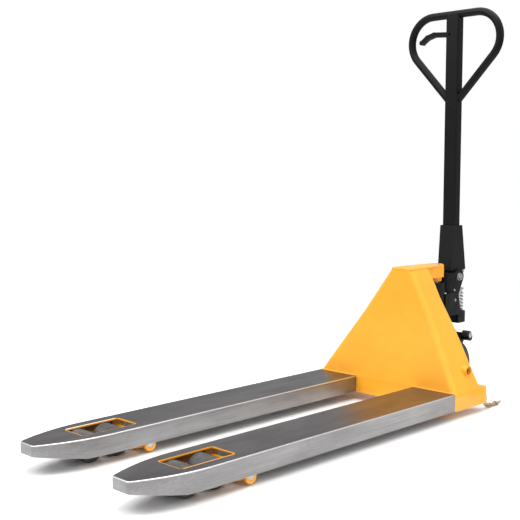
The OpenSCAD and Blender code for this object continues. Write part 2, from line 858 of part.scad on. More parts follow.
module pressure_roller() {
    color("silver") {
        bar_x(5, -socket_half, socket_half, press_at);
        across(-10.5, 10.5) difference() {
            disc(press_r, press_at);
            disc(5, press_at);
        }
    }
}

module handle_tube() {
    color([0.13, 0.12, 0.13]) difference() {
        translate([0, pivot_y, socket_top - 70]) linear_extrude(loop_mid - socket_top + 70) difference() {
            round_box(tube_w, tube_d, 5);
            round_box(tube_w - 2 * tube_t, tube_d - 2 * tube_t, 2);
        }
        bar_x(loop_r, -tube_w, tube_w, [pivot_y, loop_mid]);
        translate([-tube_w, pivot_y - lever_r - 0.7, lever_pivot[1] - lever_r - 4])
            cube([tube_w, 2 * lever_r + 1.4, 2 * lever_r + 8]);
        translate([lever_pivot[0], pivot_y, lever_pivot[1]]) rotate([90, 0, 0])
            cylinder(r = lever_pin_r, h = 2 * tube_d, center = true);
    }
}

module loop_side() {
    leg_l = sqrt(pow(norm([bend_x - leg_x, bend_z - loop_low]), 2) - pow(loop_bend, 2));
    back = 30;
    translate([0, pivot_y, loop_mid]) rotate([0, 90, 0]) cylinder(r = loop_r, h = bend_x);
    translate([bend_x, pivot_y, bend_z]) rotate([90, 0, 0]) rotate([0, 0, leg_lean - 90])
        rotate_extrude(angle = 180 - leg_lean, $fn = 96) translate([loop_bend, 0]) circle(loop_r, $fn = 32);
    translate([leg_x, pivot_y, loop_low]) rotate([0, 90 - leg_lean, 0])
        translate([0, 0, -back]) cylinder(r = loop_r, h = leg_l + back);
}

module handle_loop() {
    color([0.13, 0.12, 0.13]) difference() {
        union() {
            loop_side();
            mirror([1, 0, 0]) loop_side();
        }
        translate([-tube_w / 2, pivot_y - tube_d, loop_low - 60])
            cube([tube_w, 2 * tube_d, loop_mid - loop_low + 30]);
    }
}

module control_lever() {
    hook = [-76, 1170];
    knee = [-103, 1163];
    tip = [-125, 1148];
    finger_r = lever_r - 0.5;
    color([0.13, 0.12, 0.13]) along(pivot_y - lever_r, pivot_y + lever_r) difference() {
        union() {
            disc(finger_r, lever_pivot);
            translate([lever_pivot[0], lever_pivot[1] - 5]) square([4 - lever_pivot[0], 10]);
            disc(5, [4, lever_pivot[1]]);
            strip(lever_pivot, hook, finger_r - 1.2);
            disc(finger_r - 0.6, hook);
            strip(hook, knee, finger_r - 1.4);
            disc(finger_r - 0.8, knee);
            strip(knee, tip, finger_r - 2);
            disc(finger_r - 1.2, tip);
        }
        disc(lever_pin_r + run_gap, lever_pivot);
    }
}

module control_rod() {
    color("silver") {
        translate([4, pivot_y, pivot_z + 42]) cylinder(r = 3, h = lever_pivot[1] - pivot_z - 42 - 12);
    }
}

placed() fork_left();
placed() fork_right();
placed() frame_shell();
placed() base_ends();
placed() cross_member();
placed() head_bracket();
placed() pivot_bosses();
placed() lift_ram();
placed() bracket_hangers();
placed() bracket_pins();
placed() chain_eye();
placed() drag_chain();
placed() rocker_beam();
placed() rocker_shaft();
placed() rear_rod_pins();
placed() push_rod(-1);  // push_rod_left
placed() push_rod(1);  // push_rod_right
placed() rod_ends(-1);  // rod_ends_left
placed() rod_ends(1);  // rod_ends_right
placed() lock_nuts(-1);  // lock_nuts_left
placed() lock_nuts(1);  // lock_nuts_right
placed() roller_bracket(-1);  // roller_bracket_left
placed() roller_bracket(1);  // roller_bracket_right
placed() front_rod_pin(-1);  // front_rod_pin_left
placed() front_rod_pin(1);  // front_rod_pin_right
placed() bogie_pins(-1);  // bogie_pins_left
placed() bogie_pins(1);  // bogie_pins_right
placed() bogie_plates(-1);  // bogie_plates_left
placed() bogie_plates(1);  // bogie_plates_right
placed() roller_axles(-1);  // roller_axles_left
placed() roller_axles(1);  // roller_axles_right
placed() load_roller(-1, -1);  // load_roller_left_front
placed() load_roller(-1, 1);  // load_roller_left_rear
placed() load_roller(1, -1);  // load_roller_right_front
placed() load_roller(1, 1);  // load_roller_right_rear
placed() trunnion_ring();
placed() trunnion_pins();
placed() pump_foot();
placed() pump_casting();
placed() thrust_washer();
placed() retaining_ring();
placed() pump_barrel();
placed() valve_parts();
placed() pivot_bolt();
placed() steer_axle();
placed() axle_caps();
placed() wheel_hub(-1);  // wheel_hub_left
placed() wheel_hub(1);  // wheel_hub_right
placed() wheel_tyre(-1);  // wheel_tyre_left
placed() wheel_tyre(1);  // wheel_tyre_right
placed() plunger();
placed() plunger_spring();
placed() release_lever();
placed() foot_pedal();
placed() handle_socket();
placed() handle_tube();
placed() handle_loop();
placed() pressure_roller();
placed() control_lever();
placed() control_rod();
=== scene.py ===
import bpy, bmesh, json
from math import sin, cos, pi, radians, atan2, asin
from mathutils import Vector, Matrix


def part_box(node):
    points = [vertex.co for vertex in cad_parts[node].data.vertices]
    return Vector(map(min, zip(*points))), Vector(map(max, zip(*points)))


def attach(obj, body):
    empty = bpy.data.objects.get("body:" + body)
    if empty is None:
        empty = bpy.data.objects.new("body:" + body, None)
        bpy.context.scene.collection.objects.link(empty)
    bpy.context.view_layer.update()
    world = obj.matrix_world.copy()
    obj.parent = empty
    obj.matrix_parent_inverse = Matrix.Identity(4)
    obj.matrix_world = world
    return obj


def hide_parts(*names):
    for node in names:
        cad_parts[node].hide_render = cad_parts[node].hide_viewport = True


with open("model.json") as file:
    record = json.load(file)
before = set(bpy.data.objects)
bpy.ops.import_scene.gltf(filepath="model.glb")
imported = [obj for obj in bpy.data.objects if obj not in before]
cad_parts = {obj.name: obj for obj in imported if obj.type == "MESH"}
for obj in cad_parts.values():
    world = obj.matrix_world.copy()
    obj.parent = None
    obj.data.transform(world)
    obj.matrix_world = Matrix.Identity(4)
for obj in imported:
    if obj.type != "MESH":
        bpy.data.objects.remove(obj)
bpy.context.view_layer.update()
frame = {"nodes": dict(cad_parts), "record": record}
record = frame["record"]
bodyOf = {n: b for b, names in record["behaviour"]["bodies"].items() for n in names}
slotOf = {s["node"]: s["material_slot"] for s in record["subparts"]}
print("frame loaded:", len(bodyOf), "nodes")


class Wire:
    # one socket, so that shader maths reads as plain expressions
    def __init__(self, paint, socket):
        self.paint, self.socket = paint, socket

    def maths(self, kind, other):
        return self.paint.node("ShaderNodeMath", {"operation": kind}, {0: self, 1: other}).out(0)

    def __add__(self, v):
        return self.maths("ADD", v)

    def __radd__(self, v):
        return self.maths("ADD", v)

    def __sub__(self, v):
        return self.maths("SUBTRACT", v)

    def __mul__(self, v):
        return self.maths("MULTIPLY", v)

    def __rmul__(self, v):
        return self.maths("MULTIPLY", v)

    def __pow__(self, v):
        return self.maths("POWER", v)

    def __rsub__(self, v):
        return self.paint.node("ShaderNodeMath", {"operation": "SUBTRACT"}, {0: v, 1: self}).out(0)

    def rise(self, low, high):
        # 0 below low, 1 above high, smooth between
        return self.paint.node("ShaderNodeMapRange", {"interpolation_type": "SMOOTHSTEP"},
                               {0: self, 1: low, 2: high}).out(0)


class Box:
    def __init__(self, paint, made):
        self.paint, self.made = paint, made

    def out(self, key):
        return Wire(self.paint, self.made.outputs[key])


class Paint:
    def __init__(self, name):
        self.material = bpy.data.materials.new(name)
        self.material.use_nodes = True
        self.tree = self.material.node_tree
        self.shader = self.tree.nodes["Principled BSDF"]
        self.places = self.node("ShaderNodeTexCoord", {}, {}).out("Object")

    def node(self, kind, settings, values):
        made = self.tree.nodes.new(kind)
        for key, value in settings.items():
            if key == "stops":
                ramp = made.color_ramp.elements
                while len(ramp) < len(value):
                    ramp.new(0.5)
                for stop, (at, colour) in zip(ramp, value):
                    stop.position, stop.color = at, (*colour, 1)
            else:
                setattr(made, key, value)
        self.feed(made, values)
        return Box(self, made)

    def feed(self, made, values):
        for key, value in values.items():
            socket = made.inputs[key]
            if isinstance(value, Wire):
                self.tree.links.new(value.socket, socket)
            elif isinstance(value, tuple) and len(value) == 3 and socket.type == "RGBA":
                socket.default_value = (*value, 1)
            else:
                socket.default_value = value

    def part(self, axis):
        return self.node("ShaderNodeSeparateXYZ", {}, {0: self.places}).out(axis)

    def facing(self, axis):
        # which way the surface faces, 1 along the axis and -1 against it
        normal = self.node("ShaderNodeNewGeometry", {}, {}).out("Normal")
        return self.node("ShaderNodeSeparateXYZ", {}, {0: normal}).out(axis)

    def stretched(self, scale):
        return self.node("ShaderNodeMapping", {}, {"Vector": self.places, "Scale": scale}).out(0)

    def noise(self, scale, detail=3, rough=0.5, at=None):
        return self.node("ShaderNodeTexNoise", {}, {"Vector": at or self.places, "Scale": scale,
                                                    "Detail": detail, "Roughness": rough}).out(0)

    def blend(self, share, low, high):
        return self.node("ShaderNodeMix", {"data_type": "RGBA"}, {0: share, 6: low, 7: high}).out(2)

    def attribute(self, name):
        return self.node("ShaderNodeAttribute", {"attribute_name": name}, {}).out("Fac")

    def bump(self, height, strength, distance):
        return self.node("ShaderNodeBump", {}, {"Height": height, "Strength": strength,
                                                "Distance": distance}).out(0)

    def done(self, **values):
        self.feed(self.shader, {k.replace("_", " "): v for k, v in values.items()})
        return self.material


enamel = {"colour": (0.92, 0.405, 0.024), "deep": (0.90, 0.365, 0.018), "chip": (0.45, 0.20, 0.02),
          "rough": 0.36}

def yellowEnamel():
    p = Paint("yellow_enamel")
    peel = p.noise(260, 2)
    cloud = p.noise(5, 4, 0.6)
    scuff = (p.noise(60, 5, 0.65) - 0.56).rise(0, 0.10)
    edge = p.attribute("edgeWear")
    chips = edge * (p.noise(150, 4, 0.7) - 0.5).rise(0.02, 0.10)
    tone = p.blend(cloud.rise(0.35, 0.7), enamel["colour"], enamel["deep"])
    return p.done(Base_Color=p.blend(chips * 0.7, tone, enamel["chip"]),
                  Roughness=enamel["rough"] + scuff * 0.10 + cloud * 0.08 + chips * 0.2,
                  Coat_Weight=0.22 - scuff * 0.10, Coat_Roughness=0.14, Specular_IOR_Level=0.3,
                  Normal=p.bump(peel + scuff * 0.3, 0.10, 0.0006))


# one steel throughout: the top and side tones are painted reflection and painted shade, edge is a painted
# highlight, smudge is a real stain
forkTonesWithPaintedLight = {"top": (0.056, 0.050, 0.052), "topLight": (0.150, 0.139, 0.142), "side": (0.23, 0.225, 0.225),
              "sideLight": (0.36, 0.355, 0.355), "edge": (0.80, 0.79, 0.78), "smudge": (0.13, 0.125, 0.13)}

def brushedForkSteel():
    p = Paint("brushed_fork_steel")
    streaks = p.noise(1, 3, 0.6, p.stretched((340, 4, 340)))
    grain = p.noise(1, 2, 0.5, p.stretched((1500, 30, 1500)))
    cloud = p.noise(1, 4, 0.6, p.stretched((14, 3.5, 14)))
    stain = p.noise(16, 6, 0.7).rise(0.55, 0.78)
    edge = p.attribute("edgeWear")
    # painted shade and painted reflection: faces that look up take the near-black top tones, the rest the
    # paler side tones
    upFacingShadeMask = p.facing(2).rise(0.55, 0.95)
    shade = (streaks * 0.35 + cloud * 0.65).rise(0.34, 0.70)
    top = p.blend(shade, forkTonesWithPaintedLight["top"], forkTonesWithPaintedLight["topLight"])
    side = p.blend(shade, forkTonesWithPaintedLight["side"], forkTonesWithPaintedLight["sideLight"])
    tone = p.blend(upFacingShadeMask, side, top)
    smudged = p.blend(stain * 0.25, tone, forkTonesWithPaintedLight["smudge"])
    # painted highlight, partly worn polish: the marked edge strips blend to near-white steel
    return p.done(Base_Color=p.blend(edge * 0.75, smudged, forkTonesWithPaintedLight["edge"]), Metallic=1.0,
                  Roughness=0.24 + streaks * 0.12 + stain * 0.10 - edge * 0.06 + (1 - upFacingShadeMask) * 0.10,
                  Normal=p.bump(streaks * 0.5 + grain * 0.5, 0.07, 0.0003))


coatFinish = {"colour": (0.0062, 0.0052, 0.0060), "rubbedGlint": (0.05, 0.047, 0.047)}

def blackPowderCoat():
    p = Paint("black_powder_coat")
    cloud = p.noise(14, 4)
    grit = p.noise(700, 2)
    edge = p.attribute("edgeWear")
    # painted highlight, partly rubbed paint: marked edges blend in patches to a paler grey, standing for
    # gloss lines
    rubAndGlint = edge * p.noise(90, 4, 0.7).rise(0.45, 0.62)
    return p.done(Base_Color=p.blend(rubAndGlint * 0.5, coatFinish["colour"], coatFinish["rubbedGlint"]),
                  Roughness=0.30 + cloud * 0.16, Specular_IOR_Level=0.14,
                  Normal=p.bump(grit, 0.12, 0.0004))


castingFinish = {"colour": (0.0075, 0.0070, 0.0080), "rubbedGlint": (0.08, 0.076, 0.072)}

def blackCasting():
    p = Paint("black_painted_casting")
    lumps = p.noise(90, 4, 0.6)
    grit = p.noise(520, 3, 0.6)
    edge = p.attribute("edgeWear")
    # painted highlight, partly rubbed paint: marked edges blend in patches to a paler grey, standing for
    # gloss lines
    rubAndGlint = edge * p.noise(120, 4, 0.7).rise(0.42, 0.62)
    return p.done(Base_Color=p.blend(rubAndGlint * 0.6, castingFinish["colour"], castingFinish["rubbedGlint"]),
                  Roughness=0.36 + lumps * 0.18, Specular_IOR_Level=0.17,
                  Normal=p.bump(lumps * 0.6 + grit * 0.4, 0.30, 0.0008))


steelFinish = {"bright": (0.50, 0.49, 0.475), "dark": (0.20, 0.195, 0.19), "film": 0.55}

def machinedSteel(name, colour, rough):
    p = Paint(name)
    rings = p.noise(1, 2, 0.5, p.stretched((2600, 300, 300)))
    film = p.noise(35, 5, 0.65)
    tone = p.blend(film.rise(0.45, 0.75) * 0.5, colour, tuple(c * steelFinish["film"] for c in colour))
    return p.done(Base_Color=tone, Metallic=1.0, Roughness=rough + rings * 0.10 + film * 0.14,
                  Normal=p.bump(rings, 0.12, 0.0002))


nylonFinish = {"clean": (0.035, 0.034, 0.036), "dirty": (0.09, 0.085, 0.08)}

def rollerNylon():
    p = Paint("roller_nylon")
    scuff = p.noise(1, 4, 0.65, p.stretched((900, 40, 40)))
    dirt = p.noise(28, 5, 0.6)
    return p.done(Base_Color=p.blend(dirt.rise(0.4, 0.7), nylonFinish["clean"], nylonFinish["dirty"]),
                  Roughness=0.42 + scuff * 0.25, Normal=p.bump(scuff, 0.2, 0.0004))


tyreFinish = {"clean": (0.020, 0.019, 0.020), "dusty": (0.10, 0.095, 0.088)}

def tyreRubber():
    p = Paint("tyre_rubber")
    scuff = p.noise(1, 4, 0.65, p.stretched((300, 90, 90)))
    dust = p.noise(18, 5, 0.6).rise(0.45, 0.72)
    return p.done(Base_Color=p.blend(dust * 0.6, tyreFinish["clean"], tyreFinish["dusty"]),
                  Roughness=0.55 + scuff * 0.25, Normal=p.bump(scuff, 0.3, 0.0005))


coreFinish = {"low": (0.22, 0.215, 0.21), "high": (0.40, 0.39, 0.38)}

def castCore():
    p = Paint("cast_wheel_core")
    lumps = p.noise(110, 4, 0.6)
    film = p.noise(20, 4)
    return p.done(Base_Color=p.blend(film, coreFinish["low"], coreFinish["high"]), Metallic=0.85,
                  Roughness=0.42 + lumps * 0.2, Normal=p.bump(lumps, 0.25, 0.0006))


chainFinish = {"golden": (0.62, 0.47, 0.27), "grey": (0.35, 0.31, 0.27)}

def chainBrass():
    p = Paint("passivated_chain")
    patch = p.noise(70, 4, 0.6)
    grain = p.noise(600, 3)
    return p.done(Base_Color=p.blend(patch.rise(0.38, 0.66), chainFinish["golden"], chainFinish["grey"]),
                  Metallic=1.0, Roughness=0.30 + patch * 0.2, Normal=p.bump(grain, 0.15, 0.0003))


finishes = {
    "yellow_paint": yellowEnamel(), "fork_steel": brushedForkSteel(), "black_paint": blackPowderCoat(),
    "black_casting": blackCasting(),
    "bright_steel": machinedSteel("bright_steel", steelFinish["bright"], 0.24),
    "dark_steel": machinedSteel("dark_steel", steelFinish["dark"], 0.34), "roller_nylon": rollerNylon(),
    "wheel_tyre": tyreRubber(), "wheel_core": castCore(), "chain_brass": chainBrass(),
}
print("finishes made:", len(finishes))


# gaps in metres and angles in degrees, shared by the mesh helpers
meshSpec = {"doubles": 2e-6, "flat": 0.6, "sharp": 28, "smooth": 38, "touch": 1e-6, "seam": 1e-5}

def finishPiece(name, bm, body, slot, nodes=(), smooth=meshSpec["smooth"]):
    # turns the built mesh into an object that rides its body and stands in for the named nodes
    mesh = bpy.data.meshes.new(name)
    bm.to_mesh(mesh)
    bm.free()
    mesh.polygons.foreach_set("use_smooth", [True] * len(mesh.polygons))
    mesh.set_sharp_from_angle(angle=radians(smooth))
    piece = bpy.data.objects.new(name, mesh)
    bpy.context.scene.collection.objects.link(piece)
    mesh.materials.append(finishes[slot])
    weighted = piece.modifiers.new("flatFaces", "WEIGHTED_NORMAL")
    weighted.keep_sharp = True
    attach(piece, body)
    if nodes:
        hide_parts(*nodes)


def wearAndGlintLayer(bm):
    return bm.verts.layers.float.get("edgeWear") or bm.verts.layers.float.new("edgeWear")


def roundEdges(bm, edges, width, segments=3, clamp=True):
    # bevels the edges and marks the middle of each new strip for edge wear and painted edge highlight
    wearAndGlint = wearAndGlintLayer(bm)
    made = bmesh.ops.bevel(bm, geom=edges, offset=width, offset_type="OFFSET", segments=segments,
                           profile=0.5, affect="EDGES", material=-1, clamp_overlap=clamp)
    strip = set(made["faces"])
    for v in made["verts"]:
        if v.is_valid and v.link_faces and all(f in strip for f in v.link_faces):
            v[wearAndGlint] = 1.0


def sharpEdges(bm, angle=meshSpec["sharp"], test=None):
    return [e for e in bm.edges if len(e.link_faces) == 2 and e.calc_face_angle(0) > radians(angle)
            and (test is None or test(e))]


def mergedCopy(node):
    bm = bmesh.new()
    bm.from_mesh(frame["nodes"][node].data)
    bmesh.ops.remove_doubles(bm, verts=bm.verts, dist=meshSpec["doubles"])
    bmesh.ops.dissolve_limit(bm, angle_limit=radians(meshSpec["flat"]), verts=bm.verts, edges=bm.edges)
    wearAndGlintLayer(bm)
    return bm


def softened(node, width, segments=2):
    # a merged copy of a node with every sharp edge rounded alike
    bm = mergedCopy(node)
    roundEdges(bm, sharpEdges(bm), width, segments)
    finishPiece(node + "_finished", bm, bodyOf[node], slotOf[node], [node])


def lathe(outline, centre, steps=64, bm=None):
    # outline of (distance along X, radius) pairs, spun a full turn
    bm = bm or bmesh.new()
    wearAndGlintLayer(bm)
    start = [bm.verts.new((a, r, 0)) for a, r in outline]
    line = [bm.edges.new(pair) for pair in zip(start, start[1:])]
    if outline[0] != outline[-1] and min(outline[0][1], outline[-1][1]) > meshSpec["touch"]:
        line.append(bm.edges.new((start[-1], start[0])))
    old = set(bm.verts) - set(start)
    bmesh.ops.spin(bm, geom=start + line, cent=(0, 0, 0), axis=(1, 0, 0), dvec=(0, 0, 0),
                   angle=2 * pi, steps=steps, use_merge=True, use_duplicate=False)
    made = [v for v in bm.verts if v not in old]
    bmesh.ops.remove_doubles(bm, verts=made, dist=meshSpec["touch"])
    made = [v for v in bm.verts if v not in old]
    bmesh.ops.transform(bm, matrix=Matrix.Translation(centre), verts=made)
    bmesh.ops.recalc_face_normals(bm, faces=list({f for v in made for f in v.link_faces}))
    return bm


def sweep(path, radius, sides):
    # a round bar extruded station by station along the path, each turned on from the last without a twist
    bm = bmesh.new()
    wearAndGlintLayer(bm)
    count = len(path)
    turned = []
    for i in range(count):
        before = path[max(i - 1, 0)]
        after = path[min(i + 1, count - 1)]
        ahead = (after - before).normalized()
        if turned:
            turned.append((turned[-1] @ Vector((0, 0, 1))).rotation_difference(ahead) @ turned[-1])
        else:
            turned.append(ahead.to_track_quat("Z", "Y"))

    def station(i):
        return Matrix.Translation(path[i]) @ turned[i].to_matrix().to_4x4()

    ring = bmesh.ops.create_circle(bm, cap_ends=False, segments=sides, radius=radius)["verts"]
    bmesh.ops.transform(bm, matrix=station(0), verts=ring)
    edges = list({e for v in ring for e in v.link_edges})
    firstEdges = edges
    for i in range(1, count):
        grown = bmesh.ops.extrude_edge_only(bm, edges=edges)["geom"]
        ring = [g for g in grown if isinstance(g, bmesh.types.BMVert)]
        edges = [g for g in grown if isinstance(g, bmesh.types.BMEdge)]
        bmesh.ops.transform(bm, matrix=station(i) @ station(i - 1).inverted(), verts=ring)
    bmesh.ops.contextual_create(bm, geom=firstEdges)
    bmesh.ops.contextual_create(bm, geom=edges)
    bmesh.ops.recalc_face_normals(bm, faces=bm.faces)
    return bm


def hexHead(bm, centre, across, height, outward):
    # a hexagon head whose axis lies along X, outward 1 or -1
    corner = across / 2 / cos(pi / 6)
    made = bmesh.ops.create_cone(bm, cap_ends=True, cap_tris=False, segments=6, radius1=corner,
                                 radius2=corner, depth=height)["verts"]
    turn = Matrix.Rotation(outward * pi / 2, 4, "Y")
    bmesh.ops.transform(bm, matrix=Matrix.Translation(centre) @ turn, verts=made)


def merged(points):
    return [Vector(p) for p in points]


def finishedCopy(node, passes, smooth):
    # a merged copy of a node whose edges are rounded in passes of (test, width, segments, clamp)
    bm = mergedCopy(node)
    for test, width, segments, clamp in passes:
        edges = sharpEdges(bm, test=test)
        if edges:
            roundEdges(bm, edges, width, segments, clamp)
    bmesh.ops.remove_doubles(bm, verts=bm.verts, dist=meshSpec["seam"])
    finishPiece(node + "_finished", bm, bodyOf[node], slotOf[node], [node], smooth)


def middle(node):
    low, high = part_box(node)
    return (low + high) / 2


def ends(e):
    return e.verts[0].co, e.verts[1].co


forkSpec = {"edgeRadius": 0.0034, "rimRadius": 0.0007, "noseCorner": 0.008, "level": 1e-5, "end": 1e-4,
            "windowHalf": 0.042, "windowStart": 0.1, "noseEdge": 0.01, "rimDrop": 0.008}

def makeForks():
    for side in ("left", "right"):
        node = "fork_" + side
        low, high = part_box(node)
        centre = (low.x + high.x) / 2

        def outerTop(e):
            a, b = ends(e)
            onTop = min(a.z, b.z) > high.z - forkSpec["level"]
            beside = max(abs(a.x - centre), abs(b.x - centre)) < forkSpec["windowHalf"]
            window = beside and min(a.y, b.y) > low.y + forkSpec["windowStart"]
            root = min(a.y, b.y) > high.y - forkSpec["end"]
            return onTop and not window and not root

        def noseCorner(e):
            a, b = ends(e)
            return max(a.y, b.y) < low.y + forkSpec["end"] and abs(a.z - b.z) > forkSpec["noseEdge"]

        def underneath(e):
            return e.verts[0].co.z < high.z - forkSpec["rimDrop"]

        finishedCopy(node, [(noseCorner, forkSpec["noseCorner"], 6, True),
                            (outerTop, forkSpec["edgeRadius"], 4, False),
                            (underneath, forkSpec["rimRadius"], 2, True)], 32)


def ringStrip(bm, outline, top, depth, thickness):
    # a closed wall that follows the outline, with one of its faces on it
    count = len(outline)
    middlePoint = sum((Vector((a, b, 0)) for a, b in outline), Vector()) / count
    verts = [bm.verts.new((a, b, top)) for a, b in outline]
    edges = [bm.edges.new((verts[i], verts[(i + 1) % count])) for i in range(count)]
    grown = bmesh.ops.extrude_edge_only(bm, edges=edges)["geom"]
    low = [g for g in grown if isinstance(g, bmesh.types.BMVert)]
    bmesh.ops.translate(bm, vec=(0, 0, -depth), verts=low)
    walls = [g for g in grown if isinstance(g, bmesh.types.BMFace)]
    for f in walls:
        f.normal_update()
        if f.normal.dot(f.calc_center_median() - middlePoint) < 0:
            f.normal_flip()
    bmesh.ops.solidify(bm, geom=walls, thickness=thickness)
    bmesh.ops.recalc_face_normals(bm, faces=bm.faces)


lipSpec = {"thick": 0.0024, "depth": 0.0032, "drop": 0.0006, "corner": 0.0078, "gap": 0.0001,
           "search": 0.0455, "from": 0.12, "to": 0.32, "steps": 6}

def makeWindowLips():
    # painted collar that lines the opening over each pair of load rollers
    for side in ("left", "right"):
        low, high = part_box("fork_" + side)
        source = frame["nodes"]["fork_" + side].data
        centre = (low.x + high.x) / 2
        rim = [v.co for v in source.vertices if v.co.z > high.z - forkSpec["level"]
               and abs(v.co.x - centre) < lipSpec["search"]
               and low.y + lipSpec["from"] < v.co.y < low.y + lipSpec["to"]]
        x1 = max(abs(c.x - centre) for c in rim) - lipSpec["gap"]
        y0, y1 = min(c.y for c in rim) + lipSpec["gap"], max(c.y for c in rim) - lipSpec["gap"]
        r = lipSpec["corner"]
        outline = []
        for cx, cy, start in ((x1 - r, y1 - r, 0), (r - x1, y1 - r, 90),
                              (r - x1, y0 + r, 180), (x1 - r, y0 + r, 270)):
            for i in range(lipSpec["steps"] + 1):
                a = radians(start + 90 / lipSpec["steps"] * i)
                outline.append((centre + cx + r * cos(a), cy + r * sin(a)))
        bm = bmesh.new()
        wearAndGlintLayer(bm)
        ringStrip(bm, outline, high.z - lipSpec["drop"], lipSpec["depth"], lipSpec["thick"])
        finishPiece("window_lip_" + side, bm, "frame", "yellow_paint", (), 40)


shellSpec = {"bend": 0.016, "innerBend": 0.0108, "footTop": 0.074, "rim": 0.0012,
             "frontSkin": 0.075, "bendLength": 0.012, "creaseNear": 2.5e-3, "creaseLength": 0.05,
             "creases": ((0.281, 0.050, 8), (0.111, 0.012, 4), (0.076, 0.003, 2))}

def makeShell():
    bm = mergedCopy("frame_shell")
    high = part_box("frame_shell")[1]

    def facesFront(n, m):
        return min(n.y, m.y) < -0.85 or (max(n.y, m.y) > 0.85 and (n.z < 0 or m.z < 0))

    def corner(e):
        # a folded edge between the front plate and a cheek, above the foot
        a, b = ends(e)
        n, m = e.link_faces[0].normal, e.link_faces[1].normal
        folded = max(abs(n.y), abs(m.y)) > 0.85 and max(abs(n.x), abs(m.x)) > 0.75
        upright = min(a.z, b.z) > shellSpec["footTop"] and abs(a.z - b.z) > shellSpec["bendLength"]
        ahead = min(a.y, b.y) < high.y - shellSpec["frontSkin"]
        return folded and upright and ahead and facesFront(n, m)

    def outward(e):
        n = e.link_faces[0].normal + e.link_faces[1].normal
        return n.y < 0 and n.x * e.verts[0].co.x > 0

    corners = sharpEdges(bm, 20, corner)
    outer = [e for e in corners if outward(e)]
    skin = high.y - shellSpec["frontSkin"]
    inner = [e for e in corners if not outward(e) and min(v.co.y for v in e.verts) < skin]
    print("shell bends:", len(outer), "outside,", len(inner), "inside")
    roundEdges(bm, outer, shellSpec["bend"], 6, False)
    roundEdges(bm, [e for e in inner if e.is_valid], shellSpec["innerBend"], 6, False)
    for level, width, segments in shellSpec["creases"]:
        lines = [e for e in bm.edges if len(e.link_faces) == 2 and e.calc_face_angle(0) > radians(3)
                 and all(abs(v.co.z - level) < shellSpec["creaseNear"] for v in e.verts)
                 and e.calc_length() > shellSpec["creaseLength"]
                 and all(abs(f.normal.x) < 0.02 for f in e.link_faces)]
        print("crease at", level, ":", len(lines))
        if lines:
            roundEdges(bm, lines, width, segments, False)
    # bends aren't rubbed, only the rim
    wearAndGlint = wearAndGlintLayer(bm)
    for v in bm.verts:
        v[wearAndGlint] = 0.0
    roundEdges(bm, sharpEdges(bm, 50, lambda e: e.calc_length() > 0.004), shellSpec["rim"], 2)
    finishPiece("frame_shell_finished", bm, "frame", "yellow_paint", ["frame_shell"], 30)


weldSpec = {"radius": 0.0026, "swell": 0.18, "pitch": 0.0042, "stations": 3, "sides": 10, "sink": 0.0006,
            "inset": 0.004}

def weldBead(name, points):
    # a bead of overlapping ripples laid along a line of points
    path = []
    for a, b in zip(points, points[1:]):
        steps = max(2, int((b - a).length / weldSpec["pitch"] * weldSpec["stations"]))
        path += [a.lerp(b, i / steps) for i in range(steps)]
    path.append(points[-1])
    bm = sweep(path, weldSpec["radius"], weldSpec["sides"])
    bm.verts.ensure_lookup_table()
    for v in bm.verts:
        near = v.index // weldSpec["sides"]
        swell = weldSpec["swell"] * sin(near * 2 * pi / weldSpec["stations"])
        v.co += (v.co - path[min(near, len(path) - 1)]) * swell
    finishPiece(name, bm, "frame", "yellow_paint", (), 60)


def makeWelds():
    for side in ("left", "right"):
        low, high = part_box("fork_" + side)
        y, inset = high.y - weldSpec["sink"], weldSpec["inset"]
        weldBead("fork_weld_" + side, merged([(low.x + inset, y, high.z), (high.x - inset, y, high.z)]))
    low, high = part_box("head_bracket")
    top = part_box("frame_shell")[1].z
    for s in (-1, 1):
        weldBead("head_weld_" + ("left", "right")[s > 0], merged([
            (s * (high.x - 0.003), low.y + 0.012, top), (s * (high.x - 0.005), low.y + 0.070, top)]))


boltSpec = {"shank": 0.0098, "washer": 0.0128, "nutAcross": 0.0235, "nutHeight": 0.0052,
            "headAcross": 0.0205, "headHeight": 0.0056, "edge": 0.0005}

def makePivotBolt():
    low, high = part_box("pivot_bolt")
    y, z = middle("pivot_bolt").yz
    bm = bmesh.new()
    wearAndGlintLayer(bm)
    r, rim = boltSpec["shank"], boltSpec["washer"]
    lathe([(low.x + 0.006, 0), (low.x + 0.006, r), (high.x - 0.004, r), (high.x - 0.002, r - 0.001),
           (high.x - 0.002, 0)], Vector((0, y, z)), bm=bm)
    washer = [(-0.001, r), (-0.001, rim - 0.0004), (-0.0006, rim), (0.0006, rim), (0.001, rim - 0.0004),
              (0.001, r)]
    for x in (low.x + 0.0062, high.x - 0.0075):
        lathe(washer, Vector((x, y, z)), bm=bm)
    hexHead(bm, Vector((low.x + 0.0026, y, z)), boltSpec["nutAcross"], boltSpec["nutHeight"], -1)
    hexHead(bm, Vector((high.x - 0.0042, y, z)), boltSpec["headAcross"], boltSpec["headHeight"], 1)
    roundEdges(bm, sharpEdges(bm, 35), boltSpec["edge"], 2)
    finishPiece("pivot_bolt_finished", bm, bodyOf["pivot_bolt"], "bright_steel", ["pivot_bolt"])


